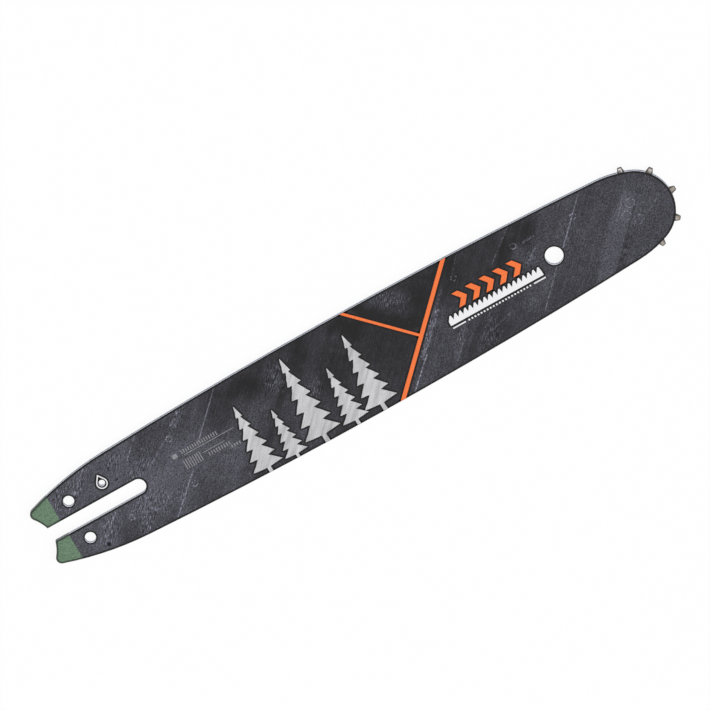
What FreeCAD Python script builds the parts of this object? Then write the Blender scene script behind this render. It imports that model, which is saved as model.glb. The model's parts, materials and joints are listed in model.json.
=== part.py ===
import FreeCAD, Part
import math
import os
import Sketcher

# Laminated guide bar with a sprocket nose. X runs along the bar towards the nose, Y across it and Z through
# its thickness. The bar lies on its back plate, with the origin under the middle of its overall box.

V = FreeCAD.Vector

# Driving dimensions in millimetres, degrees and counts
SIZES = {
    "bar_length": 380.5,              # tail tips to the nose of the plates
    "bar_width": 57.4,                # across the widest point of the crown
    "nose_radius": 21.7,
    "shoulder_radius": 60.0,          # blends the nose into the long edge
    "edge_rise": 1.92,                # long edge outside the nose's arc, abreast of the nose axis
    "crown_peak": 187.8,              # tail tips to the widest point
    "crown_radius": 2880.0,           # gentle arc of the long edges behind the widest point
    "taper_length": 49.6,             # tail tips to the start of the narrowing arms
    "taper_radius": 178.0,
    "arm_tip_radius": 3.0,
    "arm_hollow_radius": 25.0,        # hollow of each arm's end
    "arm_mouth_setback": 4.7,         # slot corners behind the tail tips
    "slot_width": 8.2,                # takes 8 mm bar studs
    "slot_length": 61.9,              # tail tips to the closed end
    "side_plate_thickness": 1.4,
    "edge_bevel": 0.2,                # deburred outer edge of the side plates
    "gauge": 1.3,                     # groove width, and the core's thickness
    "groove_depth": 6.0,
    "core_tail_setback": 6.5,
    "nose_cutout_gap": 0.8,           # core to the tips of the sprocket's teeth
    "tensioner_hole_diameter": 6.0,
    "tensioner_hole_setback": 21.8,   # from the tail tips
    "tensioner_hole_offset": 11.45,   # from the bar's axis
    "hanging_hole_diameter": 9.9,
    "hanging_hole_setback": 48.65,    # back from the nose axis
    "marked_hole_diameter": 3.6,      # the hole inside the printed drop
    "marked_hole_setback": 42.0,
    "marked_hole_offset": 11.35,
    "oil_inlet_diameter": 2.2,        # leads oil into the groove
    "oil_inlet_setback": 28.4,
    "oil_inlet_offset": 3.6,          # in from the long edge, over the groove
    "tooth_count": 9,
    "sprocket_tip_radius": 24.5,
    "sprocket_root_radius": 16.0,
    "gullet_radius": 3.4,
    "tooth_tip_width": 2.2,
    "tooth_corner_radius": 0.5,
    "sprocket_side_gap": 0.05,
    "roller_count": 20,
    "roller_diameter": 2.8,
    "roller_spacing_gap": 0.05,       # between neighbouring rollers
    "roller_running_gap": 0.05,       # to the race and to the sprocket's bore
    "roller_end_gap": 0.05,
    "rivet_count": 4,
    "race_wall": 0.64,                # metal between a rivet's hole and the race's rim
    "rivet_shank_diameter": 4.0,
    "rivet_head_diameter": 5.2,
    "rivet_head_depth": 0.6,
    "rivet_fit_gap": 0.02,
}

# Places and sizes that follow from the driving ones, measured from the nose axis
PLACES = {
    "nose_x": "(bar_length - nose_radius - sprocket_tip_radius) / 2",
    "tail_x": "nose_radius - bar_length",
    "crown_x": "tail_x + crown_peak",
    "crown_centre_y": "bar_width / 2 - crown_radius",
    "front_fall": "bar_width / 2 - nose_radius - edge_rise",
    "front_radius": "(crown_x ^ 2 + front_fall ^ 2) / (2 * front_fall)",
    "front_centre_y": "bar_width / 2 - front_radius",
    "taper_start_x": "tail_x + taper_length",
    "taper_start_y": "crown_centre_y + sqrt(crown_radius ^ 2 - (crown_x - taper_start_x) ^ 2)",
    "taper_share": "taper_radius / crown_radius",
    "taper_centre_x": "taper_start_x + (crown_x - taper_start_x) * taper_share",
    "taper_centre_y": "taper_start_y - (taper_start_y - crown_centre_y) * taper_share",
    "arm_tip_centre_x": "tail_x + arm_tip_radius",
    "slot_corner_x": "tail_x + arm_mouth_setback",
    "slot_end_x": "tail_x + slot_length",
    "core_end_x": "tail_x + core_tail_setback",
    "core_front_radius": "front_radius - groove_depth",
    "core_crown_radius": "crown_radius - groove_depth",
    "core_taper_radius": "taper_radius - groove_depth",
    "core_taper_start_x": "taper_start_x + groove_depth * (crown_x - taper_start_x) / crown_radius",
    "cutout_radius": "sprocket_tip_radius + nose_cutout_gap",
    "tensioner_hole_x": "tail_x + tensioner_hole_setback",
    "marked_hole_x": "tail_x + marked_hole_setback",
    "oil_inlet_x": "tail_x + oil_inlet_setback",
    "oil_inlet_edge_y": "taper_centre_y + sqrt(taper_radius ^ 2 - (oil_inlet_x - taper_centre_x) ^ 2)",
    "oil_inlet_y": "oil_inlet_edge_y - oil_inlet_offset",
    "front_plate_z": "side_plate_thickness + gauge",
    "bar_thickness": "2 * side_plate_thickness + gauge",
    "sprocket_thickness": "gauge - 2 * sprocket_side_gap",
    "sprocket_z": "side_plate_thickness + sprocket_side_gap",
    "roller_length": "gauge - 2 * roller_end_gap",
    "roller_z": "side_plate_thickness + roller_end_gap",
    "roller_circle_radius": "(roller_diameter + roller_spacing_gap) / (2 * sin(180 / roller_count))",
    "race_radius": "roller_circle_radius - roller_diameter / 2 - roller_running_gap",
    "bore_radius": "roller_circle_radius + roller_diameter / 2 + roller_running_gap",
    "rivet_hole_radius": "rivet_shank_diameter / 2 + rivet_fit_gap",
    "rivet_seat_radius": "rivet_head_diameter / 2 + rivet_fit_gap",
    "rivet_circle_radius": "race_radius - race_wall - rivet_hole_radius",
    "gullet_centre": "sprocket_root_radius + gullet_radius",
    "tooth_corner_angle": "180 / tooth_count - asin(tooth_tip_width / 2 / sprocket_tip_radius) / 1 deg",
}

os.makedirs("parts", exist_ok=True)
doc = FreeCAD.newDocument("guide_bar")
sheet = doc.addObject("Spreadsheet::Sheet", "Sizes")

row = 0
for alias, value in SIZES.items():
    row += 1
    sheet.set("A%d" % row, alias)
    sheet.set("B%d" % row, str(value))
    sheet.setAlias("B%d" % row, alias)
for alias, formula in PLACES.items():
    row += 1
    sheet.set("A%d" % row, alias)
    sheet.set("B%d" % row, "=" + formula)
    sheet.setAlias("B%d" % row, alias)
doc.recompute()


def size(alias):
    """Current value of one cell of the sheet."""
    return float(sheet.get(alias))


# Sketches: the points of an edge, the sketch's own origin and axis, and how near counts as touching

START = 1
END = 2
CENTRE = 3
ORIGIN = (-1, 1)
X_AXIS = -1
TOUCH = 1e-4
FULL_TURN = 360


def origin_feature(body, role):
    """One of the body's own planes or axes."""
    return [item for item in body.Origin.OriginFeatures if item.Role == role][0]


def new_sketch(body, label, plane="XY_Plane"):
    """An empty sketch on one of the body's own planes."""
    sketch = body.newObject("Sketcher::SketchObject", label)
    sketch.AttachmentSupport = (origin_feature(body, plane), [""])
    sketch.MapMode = "FlatFace"
    return sketch


def drive(sketch, name, expression, kind, *where):
    """A dimension of the sketch whose value comes from the sheet."""
    value = float(sketch.evalExpression(expression))
    index = sketch.addConstraint(Sketcher.Constraint(kind, *where, value))
    sketch.renameConstraint(index, name)
    sketch.setExpression("Constraints." + name, expression)


def drive_x(sketch, name, expression, geometry, point):
    """Distance of a point from the sketch's vertical axis."""
    drive(sketch, name, expression, "DistanceX", *ORIGIN, geometry, point)


def drive_y(sketch, name, expression, geometry, point):
    """Distance of a point from the sketch's horizontal axis."""
    drive(sketch, name, expression, "DistanceY", *ORIGIN, geometry, point)


def tie(sketch, *constraints):
    """Shape rules of the sketch that carry no dimension."""
    sketch.addConstraint([Sketcher.Constraint(*constraint) for constraint in constraints])


def add_arc(sketch, centre, radius, start, end):
    """An arc that runs anticlockwise from start to end, and its number in the sketch."""
    first = math.atan2(start.y - centre.y, start.x - centre.x)
    last = math.atan2(end.y - centre.y, end.x - centre.x)
    if last <= first:
        last += 2 * math.pi
    circle = Part.Circle(centre, V(0, 0, 1), radius)
    return sketch.addGeometry(Part.ArcOfCircle(circle, first, last), False)


def add_line(sketch, start, end):
    """A straight edge, and its number in the sketch."""
    return sketch.addGeometry(Part.LineSegment(start, end), False)


def add_hole(sketch, name, diameter, x, y=None):
    """A round hole of the sketch with its diameter and centre tied to the sheet."""
    centre = V(float(sketch.evalExpression(x)), 0, 0)
    if y is not None:
        centre.y = float(sketch.evalExpression(y))
    radius = float(sketch.evalExpression(diameter)) / 2
    hole = sketch.addGeometry(Part.Circle(centre, V(0, 0, 1), radius), False)
    drive(sketch, name + "_diameter", diameter, "Diameter", hole)
    drive_x(sketch, name + "_x", x, hole, CENTRE)
    if y is None:
        tie(sketch, ("PointOnObject", hole, CENTRE, X_AXIS))
    else:
        drive_y(sketch, name + "_y", y, hole, CENTRE)


def circles_meet(first, first_radius, second, second_radius, side):
    """Where two circles cross, left (1) or right (-1) of the way from the first centre to the second."""
    way = second - first
    along = (way.Length ** 2 + first_radius ** 2 - second_radius ** 2) / (2 * way.Length)
    across = math.sqrt(first_radius ** 2 - along ** 2)
    way.normalize()
    return first + way * along + V(-way.y, way.x, 0) * (across * side)


# Features of a body

def new_body(label, x="Sizes.nose_x", y=None, z=None):
    """A body with its origin where the sheet says: on the nose axis and the floor unless told otherwise."""
    body = doc.addObject("PartDesign::Body", label)
    body.Label = label
    for direction, place in (("x", x), ("y", y), ("z", z)):
        if place is not None:
            body.setExpression("Placement.Base." + direction, place)
    return body


def pad(body, sketch, label, length):
    """Raises a sketch upwards."""
    feature = body.newObject("PartDesign::Pad", label)
    feature.Profile = sketch
    feature.setExpression("Length", length)
    return feature


def pocket(body, sketch, label, length):
    """Cuts a sketch upwards through the body, and makes sure that metal went."""
    doc.recompute()
    before = body.Shape.Volume
    feature = body.newObject("PartDesign::Pocket", label)
    feature.Profile = sketch
    feature.setExpression("Length", length)
    feature.Reversed = True
    doc.recompute()
    if not body.Shape.Volume < before:
        raise RuntimeError(label + " cuts nothing")
    return feature


def mirror_half(body, feature, label):
    """Completes a half outline on the other side of the bar's axis."""
    mirror = body.newObject("PartDesign::Mirrored", label)
    mirror.Originals = [feature]
    mirror.MirrorPlane = (origin_feature(body, "XZ_Plane"), [""])
    body.Tip = mirror
    doc.recompute()
    return mirror


def repeat_round(body, features, label, count):
    """Repeats features evenly about the nose axis."""
    pattern = body.newObject("PartDesign::PolarPattern", label)
    pattern.Originals = features
    pattern.Axis = (origin_feature(body, "Z_Axis"), [""])
    pattern.Angle = FULL_TURN
    pattern.setExpression("Occurrences", count)
    body.Tip = pattern
    doc.recompute()
    return pattern


def rivet_hole(body, length):
    """Hole for the shank of the first nose rivet."""
    hole = body.newObject("PartDesign::SubtractiveCylinder", body.Label + "_rivet_hole")
    hole.setExpression("Radius", "Sizes.rivet_hole_radius")
    hole.setExpression("Height", length)
    hole.setExpression("Placement.Base.x", "Sizes.rivet_circle_radius")
    doc.recompute()
    return hole


# Side plates

def plate_outline(body):
    """Upper half of a side plate's outline, closed along the bar's axis."""
    nose = V(0, 0, 0)
    front = V(size("crown_x"), size("front_centre_y"), 0)
    shoulder = circles_meet(
        nose, size("shoulder_radius") - size("nose_radius"),
        front, size("front_radius") - size("shoulder_radius"), -1)
    nose_end = nose + (nose - shoulder).normalize() * size("nose_radius")
    shoulder_end = front + (shoulder - front).normalize() * size("front_radius")

    peak = V(size("crown_x"), size("bar_width") / 2, 0)
    crown = V(size("crown_x"), size("crown_centre_y"), 0)
    crown_end = V(size("taper_start_x"), size("taper_start_y"), 0)
    taper = V(size("taper_centre_x"), size("taper_centre_y"), 0)

    tip = V(size("arm_tip_centre_x"), 0, 0)
    tip_reach = size("taper_radius") - size("arm_tip_radius")
    tip.y = taper.y + math.sqrt(tip_reach ** 2 - (tip.x - taper.x) ** 2)
    taper_end = taper + (tip - taper).normalize() * size("taper_radius")

    half_slot = size("slot_width") / 2
    corner = V(size("slot_corner_x"), half_slot, 0)
    hollow = circles_meet(
        tip, size("arm_hollow_radius") + size("arm_tip_radius"),
        corner, size("arm_hollow_radius"), -1)
    tip_end = hollow + (tip - hollow).normalize() * size("arm_hollow_radius")

    slot_end = V(size("slot_end_x"), 0, 0)
    slot_centre = slot_end - V(half_slot, 0, 0)
    slot_top = slot_centre + V(0, half_slot, 0)
    nose_start = V(size("nose_radius"), 0, 0)

    sketch = new_sketch(body, body.Label + "_outline")
    nose_arc = add_arc(sketch, nose, size("nose_radius"), nose_start, nose_end)
    shoulder_arc = add_arc(sketch, shoulder, size("shoulder_radius"), nose_end, shoulder_end)
    front_arc = add_arc(sketch, front, size("front_radius"), shoulder_end, peak)
    crown_arc = add_arc(sketch, crown, size("crown_radius"), peak, crown_end)
    taper_arc = add_arc(sketch, taper, size("taper_radius"), crown_end, taper_end)
    tip_arc = add_arc(sketch, tip, size("arm_tip_radius"), taper_end, tip_end)
    hollow_arc = add_arc(sketch, hollow, size("arm_hollow_radius"), corner, tip_end)
    slot_line = add_line(sketch, corner, slot_top)
    slot_arc = add_arc(sketch, slot_centre, half_slot, slot_end, slot_top)
    axis_line = add_line(sketch, slot_end, nose_start)

    tie(sketch,
        ("Coincident", nose_arc, CENTRE, *ORIGIN),
        ("PointOnObject", nose_arc, START, X_AXIS),
        ("Tangent", nose_arc, END, shoulder_arc, START),
        ("Tangent", shoulder_arc, END, front_arc, START),
        ("Tangent", front_arc, END, crown_arc, START),
        ("Tangent", crown_arc, END, taper_arc, START),
        ("Tangent", taper_arc, END, tip_arc, START),
        ("Tangent", tip_arc, END, hollow_arc, END),
        ("Coincident", hollow_arc, START, slot_line, START),
        ("Horizontal", slot_line),
        ("Tangent", slot_line, END, slot_arc, END),
        ("PointOnObject", slot_arc, CENTRE, X_AXIS),
        ("PointOnObject", slot_arc, START, X_AXIS),
        ("Coincident", slot_arc, START, axis_line, START),
        ("Coincident", axis_line, END, nose_arc, START))
    drive(sketch, "nose_radius", "Sizes.nose_radius", "Radius", nose_arc)
    drive(sketch, "shoulder_radius", "Sizes.shoulder_radius", "Radius", shoulder_arc)
    drive(sketch, "front_radius", "Sizes.front_radius", "Radius", front_arc)
    drive(sketch, "crown_radius", "Sizes.crown_radius", "Radius", crown_arc)
    drive_x(sketch, "crown_x", "Sizes.crown_x", crown_arc, CENTRE)
    drive_y(sketch, "crown_y", "Sizes.crown_centre_y", crown_arc, CENTRE)
    drive_x(sketch, "peak_x", "Sizes.crown_x", crown_arc, START)
    drive_x(sketch, "taper_start_x", "Sizes.taper_start_x", crown_arc, END)
    drive(sketch, "taper_radius", "Sizes.taper_radius", "Radius", taper_arc)
    drive(sketch, "tip_radius", "Sizes.arm_tip_radius", "Radius", tip_arc)
    drive_x(sketch, "tip_x", "Sizes.arm_tip_centre_x", tip_arc, CENTRE)
    drive(sketch, "hollow_radius", "Sizes.arm_hollow_radius", "Radius", hollow_arc)
    drive_x(sketch, "corner_x", "Sizes.slot_corner_x", hollow_arc, START)
    drive_y(sketch, "half_slot", "Sizes.slot_width / 2", hollow_arc, START)
    drive_x(sketch, "slot_end_x", "Sizes.slot_end_x", slot_arc, START)
    return sketch


def shared_holes(sketch):
    """Holes that go through all three plates."""
    add_hole(sketch, "hanging", "Sizes.hanging_hole_diameter", "-Sizes.hanging_hole_setback")
    add_hole(sketch, "tensioner_upper", "Sizes.tensioner_hole_diameter",
             "Sizes.tensioner_hole_x", "Sizes.tensioner_hole_offset")
    add_hole(sketch, "tensioner_lower", "Sizes.tensioner_hole_diameter",
             "Sizes.tensioner_hole_x", "-Sizes.tensioner_hole_offset")
    add_hole(sketch, "marked", "Sizes.marked_hole_diameter",
             "Sizes.marked_hole_x", "Sizes.marked_hole_offset")


def outer_rim(shape, z):
    """Names of the edges round the outline of the flat face at height z."""
    flat = [face for face in shape.Faces
            if abs(face.BoundBox.ZMin - z) < TOUCH and abs(face.BoundBox.ZMax - z) < TOUCH]
    widest = max(flat, key=lambda face: face.Area)
    rim = widest.OuterWire.Edges
    return ["Edge%d" % (number + 1) for number, edge in enumerate(shape.Edges)
            if any(edge.isSame(other) for other in rim)]


def side_plate(label, z, outer_side_up):
    """One outer plate, with its own oil inlet in the arm that is uppermost when this plate faces the saw."""
    body = new_body(label, z=z)
    half = pad(body, plate_outline(body), label + "_half", "Sizes.side_plate_thickness")
    mirror_half(body, half, label + "_whole")

    holes = new_sketch(body, label + "_holes")
    shared_holes(holes)
    inlet_y = "-Sizes.oil_inlet_y" if outer_side_up else "Sizes.oil_inlet_y"
    add_hole(holes, "oil_inlet", "Sizes.oil_inlet_diameter", "Sizes.oil_inlet_x", inlet_y)
    pocket(body, holes, label + "_hole_cut", "Sizes.side_plate_thickness")

    shank_hole = rivet_hole(body, "Sizes.side_plate_thickness")
    head_seat = body.newObject("PartDesign::SubtractiveCone", label + "_rivet_seat")
    shank = "Sizes.rivet_hole_radius"
    head = "Sizes.rivet_seat_radius"
    head_seat.setExpression("Radius1", shank if outer_side_up else head)
    head_seat.setExpression("Radius2", head if outer_side_up else shank)
    head_seat.setExpression("Height", "Sizes.rivet_head_depth")
    head_seat.setExpression("Placement.Base.x", "Sizes.rivet_circle_radius")
    if outer_side_up:
        head_seat.setExpression("Placement.Base.z", "Sizes.side_plate_thickness - Sizes.rivet_head_depth")
    doc.recompute()
    riveted = repeat_round(body, [shank_hole, head_seat], label + "_rivet_holes", "Sizes.rivet_count")

    bevel = body.newObject("PartDesign::Chamfer", label + "_edge_bevel")
    outer_z = size("side_plate_thickness") if outer_side_up else 0
    bevel.Base = (riveted, outer_rim(riveted.Shape, outer_z))
    bevel.setExpression("Size", "Sizes.edge_bevel")
    body.Tip = bevel
    return body


# Core plate

def core_outline(body):
    """Upper half of the core's outline: set back from the long edges and cut out round the sprocket."""
    nose = V(0, 0, 0)
    front = V(size("crown_x"), size("front_centre_y"), 0)
    cutout_start = circles_meet(nose, size("cutout_radius"), front, size("core_front_radius"), -1)
    cutout_end = V(-size("cutout_radius"), 0, 0)

    peak = V(size("crown_x"), size("bar_width") / 2 - size("groove_depth"), 0)
    crown = V(size("crown_x"), size("crown_centre_y"), 0)
    taper = V(size("taper_centre_x"), size("taper_centre_y"), 0)
    crown_end = taper + (taper - crown).normalize() * size("core_taper_radius")
    taper_end = V(size("core_end_x"), taper.y, 0)
    taper_end.y += math.sqrt(size("core_taper_radius") ** 2 - (taper_end.x - taper.x) ** 2)

    half_slot = size("slot_width") / 2
    corner = V(size("core_end_x"), half_slot, 0)
    slot_end = V(size("slot_end_x"), 0, 0)
    slot_centre = slot_end - V(half_slot, 0, 0)
    slot_top = slot_centre + V(0, half_slot, 0)

    sketch = new_sketch(body, body.Label + "_outline")
    cutout_arc = add_arc(sketch, nose, size("cutout_radius"), cutout_start, cutout_end)
    front_arc = add_arc(sketch, front, size("core_front_radius"), cutout_start, peak)
    crown_arc = add_arc(sketch, crown, size("core_crown_radius"), peak, crown_end)
    taper_arc = add_arc(sketch, taper, size("core_taper_radius"), crown_end, taper_end)
    end_line = add_line(sketch, taper_end, corner)
    slot_line = add_line(sketch, corner, slot_top)
    slot_arc = add_arc(sketch, slot_centre, half_slot, slot_end, slot_top)
    axis_line = add_line(sketch, slot_end, cutout_end)

    tie(sketch,
        ("Coincident", cutout_arc, CENTRE, *ORIGIN),
        ("PointOnObject", cutout_arc, END, X_AXIS),
        ("Coincident", cutout_arc, START, front_arc, START),
        ("Tangent", front_arc, END, crown_arc, START),
        ("Tangent", crown_arc, END, taper_arc, START),
        ("Coincident", taper_arc, END, end_line, START),
        ("Vertical", end_line),
        ("Coincident", end_line, END, slot_line, START),
        ("Horizontal", slot_line),
        ("Tangent", slot_line, END, slot_arc, END),
        ("PointOnObject", slot_arc, CENTRE, X_AXIS),
        ("PointOnObject", slot_arc, START, X_AXIS),
        ("Coincident", slot_arc, START, axis_line, START),
        ("Coincident", axis_line, END, cutout_arc, END))
    drive(sketch, "cutout_radius", "Sizes.cutout_radius", "Radius", cutout_arc)
    drive(sketch, "front_radius", "Sizes.core_front_radius", "Radius", front_arc)
    drive(sketch, "crown_radius", "Sizes.core_crown_radius", "Radius", crown_arc)
    drive_x(sketch, "crown_x", "Sizes.crown_x", crown_arc, CENTRE)
    drive_y(sketch, "crown_y", "Sizes.crown_centre_y", crown_arc, CENTRE)
    drive_x(sketch, "peak_x", "Sizes.crown_x", crown_arc, START)
    drive_x(sketch, "taper_start_x", "Sizes.core_taper_start_x", crown_arc, END)
    drive(sketch, "taper_radius", "Sizes.core_taper_radius", "Radius", taper_arc)
    drive_x(sketch, "core_end_x", "Sizes.core_end_x", end_line, START)
    drive_y(sketch, "half_slot", "Sizes.slot_width / 2", slot_line, START)
    drive_x(sketch, "slot_end_x", "Sizes.slot_end_x", slot_arc, START)
    return sketch


def core_plate():
    """The middle plate, whose edge is the floor of the chain groove."""
    body = new_body("core_plate", z="Sizes.side_plate_thickness")
    half = pad(body, core_outline(body), "core_half", "Sizes.gauge")
    mirror_half(body, half, "core_whole")
    holes = new_sketch(body, "core_holes")
    shared_holes(holes)
    pocket(body, holes, "core_hole_cut", "Sizes.gauge")
    return body


# Nose sprocket and its bearing

def gullet_sketch(body):
    """One gullet on the +X side: a round bottom, two flanks up to the teeth's corners, and a mouth."""
    bottom_radius = size("gullet_radius")
    centre = V(size("gullet_centre"), 0, 0)
    turn = math.radians(size("tooth_corner_angle"))
    outwards = V(math.cos(turn), math.sin(turn), 0)
    corner = outwards * size("sprocket_tip_radius")
    mouth_end = outwards * (size("sprocket_tip_radius") + bottom_radius)
    reach = corner - centre
    flank_turn = math.atan2(reach.y, reach.x) + math.acos(bottom_radius / reach.Length)
    flank_start = centre + V(math.cos(flank_turn), math.sin(flank_turn), 0) * bottom_radius
    lower_start = V(flank_start.x, -flank_start.y, 0)
    lower_corner = V(corner.x, -corner.y, 0)
    lower_mouth_end = V(mouth_end.x, -mouth_end.y, 0)

    sketch = new_sketch(body, "gullet_outline")
    bottom = add_arc(sketch, centre, bottom_radius, flank_start, lower_start)
    flank = add_line(sketch, flank_start, corner)
    side = add_line(sketch, corner, mouth_end)
    mouth = add_line(sketch, mouth_end, lower_mouth_end)
    lower_side = add_line(sketch, lower_corner, lower_mouth_end)
    lower_flank = add_line(sketch, lower_start, lower_corner)
    tie(sketch,
        ("PointOnObject", bottom, CENTRE, X_AXIS),
        ("Tangent", bottom, START, flank, START),
        ("Tangent", bottom, END, lower_flank, START),
        ("Coincident", flank, END, side, START),
        ("Coincident", side, END, mouth, START),
        ("Coincident", mouth, END, lower_side, END),
        ("Coincident", lower_side, START, lower_flank, END),
        ("Symmetric", side, START, lower_side, START, X_AXIS),
        ("Symmetric", side, END, lower_side, END, X_AXIS))
    drive_x(sketch, "gullet_centre", "Sizes.gullet_centre", bottom, CENTRE)
    drive(sketch, "gullet_radius", "Sizes.gullet_radius", "Radius", bottom)
    drive_x(sketch, "corner_x", "Sizes.sprocket_tip_radius * cos(Sizes.tooth_corner_angle)", side, START)
    drive_y(sketch, "corner_y", "Sizes.sprocket_tip_radius * sin(Sizes.tooth_corner_angle)", side, START)
    mouth_reach = "(Sizes.sprocket_tip_radius + Sizes.gullet_radius)"
    drive_x(sketch, "mouth_x", mouth_reach + " * cos(Sizes.tooth_corner_angle)", side, END)
    drive_y(sketch, "mouth_y", mouth_reach + " * sin(Sizes.tooth_corner_angle)", side, END)
    return sketch


def tooth_corners(shape, radius):
    """Names of the upright edges at the tips of the teeth."""
    names = []
    for number, edge in enumerate(shape.Edges):
        ends = [vertex.Point for vertex in edge.Vertexes]
        if len(ends) == 2 and all(abs(math.hypot(end.x, end.y) - radius) < TOUCH for end in ends):
            if math.hypot(ends[0].x - ends[1].x, ends[0].y - ends[1].y) < TOUCH:
                names.append("Edge%d" % (number + 1))
    return names


def nose_sprocket():
    """Star sprocket: a thin disc with a bore for the rollers and gullets between its teeth."""
    body = new_body("nose_sprocket", z="Sizes.sprocket_z")
    body.setExpression("Placement.Rotation.Angle", "180 deg / Sizes.tooth_count")
    disc = new_sketch(body, "sprocket_disc")
    rim = disc.addGeometry(Part.Circle(V(0, 0, 0), V(0, 0, 1), size("sprocket_tip_radius")), False)
    bore = disc.addGeometry(Part.Circle(V(0, 0, 0), V(0, 0, 1), size("bore_radius")), False)
    tie(disc, ("Coincident", rim, CENTRE, *ORIGIN), ("Coincident", bore, CENTRE, *ORIGIN))
    drive(disc, "tip_radius", "Sizes.sprocket_tip_radius", "Radius", rim)
    drive(disc, "bore_radius", "Sizes.bore_radius", "Radius", bore)
    pad(body, disc, "sprocket_blank", "Sizes.sprocket_thickness")
    gullet = pocket(body, gullet_sketch(body), "gullet", "Sizes.sprocket_thickness")
    gullets = repeat_round(body, [gullet], "gullets", "Sizes.tooth_count")
    corners = body.newObject("PartDesign::Fillet", "tooth_corners")
    corners.Base = (gullets, tooth_corners(gullets.Shape, size("sprocket_tip_radius")))
    corners.setExpression("Radius", "Sizes.tooth_corner_radius")
    body.Tip = corners
    return body


def bearing_race():
    """Inner race: a hardened disc that the rivets clamp between the side plates."""
    body = new_body("bearing_inner_race", z="Sizes.side_plate_thickness")
    disc = new_sketch(body, "race_disc")
    rim = disc.addGeometry(Part.Circle(V(0, 0, 0), V(0, 0, 1), size("race_radius")), False)
    tie(disc, ("Coincident", rim, CENTRE, *ORIGIN))
    drive(disc, "race_radius", "Sizes.race_radius", "Radius", rim)
    pad(body, disc, "race_blank", "Sizes.gauge")
    hole = rivet_hole(body, "Sizes.gauge")
    repeat_round(body, [hole], "race_rivet_holes", "Sizes.rivet_count")
    return body


def bearing_roller(number):
    """One roller of the full ring."""
    label = "bearing_roller_%02d" % (number + 1)
    roller = doc.addObject("Part::Cylinder", label)
    roller.Label = label
    turn = "%d deg / Sizes.roller_count" % (number * FULL_TURN)
    roller.setExpression("Radius", "Sizes.roller_diameter / 2")
    roller.setExpression("Height", "Sizes.roller_length")
    roller.setExpression("Placement.Base.x", "Sizes.nose_x + Sizes.roller_circle_radius * cos(%s)" % turn)
    roller.setExpression("Placement.Base.y", "Sizes.roller_circle_radius * sin(%s)" % turn)
    roller.setExpression("Placement.Base.z", "Sizes.roller_z")
    return roller


# Nose rivets

def nose_rivet(number):
    """Flush rivet: a shank with a shallow conical head seated in each side plate."""
    label = "nose_rivet_%d" % (number + 1)
    turn = "%d deg / Sizes.rivet_count" % (number * FULL_TURN)
    body = new_body(label,
                    x="Sizes.nose_x + Sizes.rivet_circle_radius * cos(%s)" % turn,
                    y="Sizes.rivet_circle_radius * sin(%s)" % turn)

    shank = size("rivet_shank_diameter") / 2
    head = size("rivet_head_diameter") / 2
    depth = size("rivet_head_depth")
    height = size("bar_thickness")
    profile = new_sketch(body, label + "_profile", "XZ_Plane")
    points = [V(0, 0, 0), V(head, 0, 0), V(shank, depth, 0),
              V(shank, height - depth, 0), V(head, height, 0), V(0, height, 0)]
    sides = [add_line(profile, start, end) for start, end in zip(points, points[1:] + points[:1])]
    tie(profile,
        ("Coincident", sides[0], START, *ORIGIN),
        *[("Coincident", side, END, after, START) for side, after in zip(sides, sides[1:] + sides[:1])],
        ("Horizontal", sides[0]),
        ("Vertical", sides[2]),
        ("Horizontal", sides[4]),
        ("Vertical", sides[5]))
    drive_x(profile, "lower_head", "Sizes.rivet_head_diameter / 2", sides[0], END)
    drive_x(profile, "shank", "Sizes.rivet_shank_diameter / 2", sides[1], END)
    drive_y(profile, "lower_depth", "Sizes.rivet_head_depth", sides[1], END)
    drive_y(profile, "upper_depth", "Sizes.bar_thickness - Sizes.rivet_head_depth", sides[2], END)
    drive_x(profile, "upper_head", "Sizes.rivet_head_diameter / 2", sides[3], END)
    drive_y(profile, "height", "Sizes.bar_thickness", sides[3], END)

    turned = body.newObject("PartDesign::Revolution", label + "_turned")
    turned.Profile = profile
    turned.ReferenceAxis = (profile, ["V_Axis"])
    turned.Angle = FULL_TURN
    return body


# The whole bar

pieces = [
    side_plate("side_plate_back", None, False),
    core_plate(),
    side_plate("side_plate_front", "Sizes.front_plate_z", True),
    nose_sprocket(),
    bearing_race(),
]
pieces += [bearing_roller(number) for number in range(int(size("roller_count")))]
pieces += [nose_rivet(number) for number in range(int(size("rivet_count")))]
doc.recompute()

for item in doc.Objects:
    if "Invalid" in item.State or "Error" in item.State:
        raise RuntimeError("%s did not build: %s" % (item.Label, item.State))
for piece in pieces:
    if piece.Shape.isNull() or not piece.Shape.isValid() or len(piece.Shape.Solids) != 1:
        raise RuntimeError(piece.Label + " is not one sound solid")
for piece in pieces:
    piece.Shape.exportStep("parts/%s.step" % piece.Label)
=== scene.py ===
import json
import math

import bpy
from mathutils import Matrix, Vector


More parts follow.
